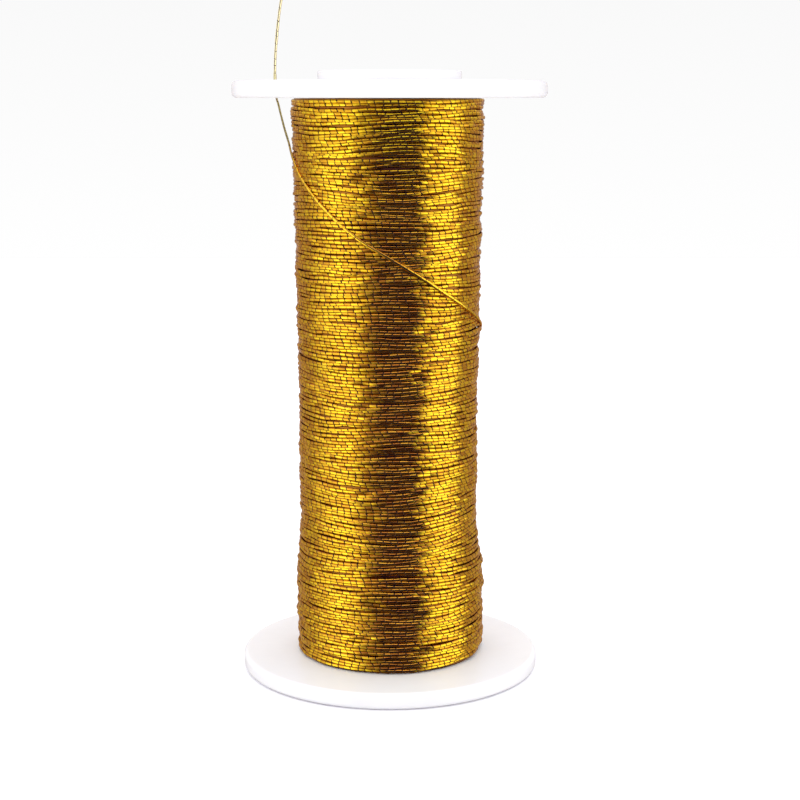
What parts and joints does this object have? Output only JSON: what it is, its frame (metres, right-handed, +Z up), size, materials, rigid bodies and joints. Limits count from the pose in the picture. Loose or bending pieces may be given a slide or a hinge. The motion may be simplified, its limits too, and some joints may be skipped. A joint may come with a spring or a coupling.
{
  "type": "spool of thread",
  "caption": "Small white plastic spool with two thin round flanges, wound with fine gold metallic thread whose free end climbs through a notch in the top flange.",
  "frame": {"origin": "on the spool's axis, on the face that the spool stands on", "axes": "+Z up along the spool's axis, from the plain flange to the notched one; -Y is the front, where the thread's free end crosses the winding; +X is to the right seen from the front"},
  "size_m": [0.028, 0.028, 0.063],
  "materials": {
    "white_plastic": "moulded, glossy, slightly translucent white",
    "core_plastic": "moulded, plain",
    "gold_thread": "gold metallic film wrapped round a dark brown core yarn"
  },
  "bodies": {
    "root": {"bottom_flange": "white_plastic", "top_flange": "white_plastic", "barrel": "core_plastic", "thread_winding": "gold_thread", "thread_tail": "gold_thread"}
  },
  "joints": []
}
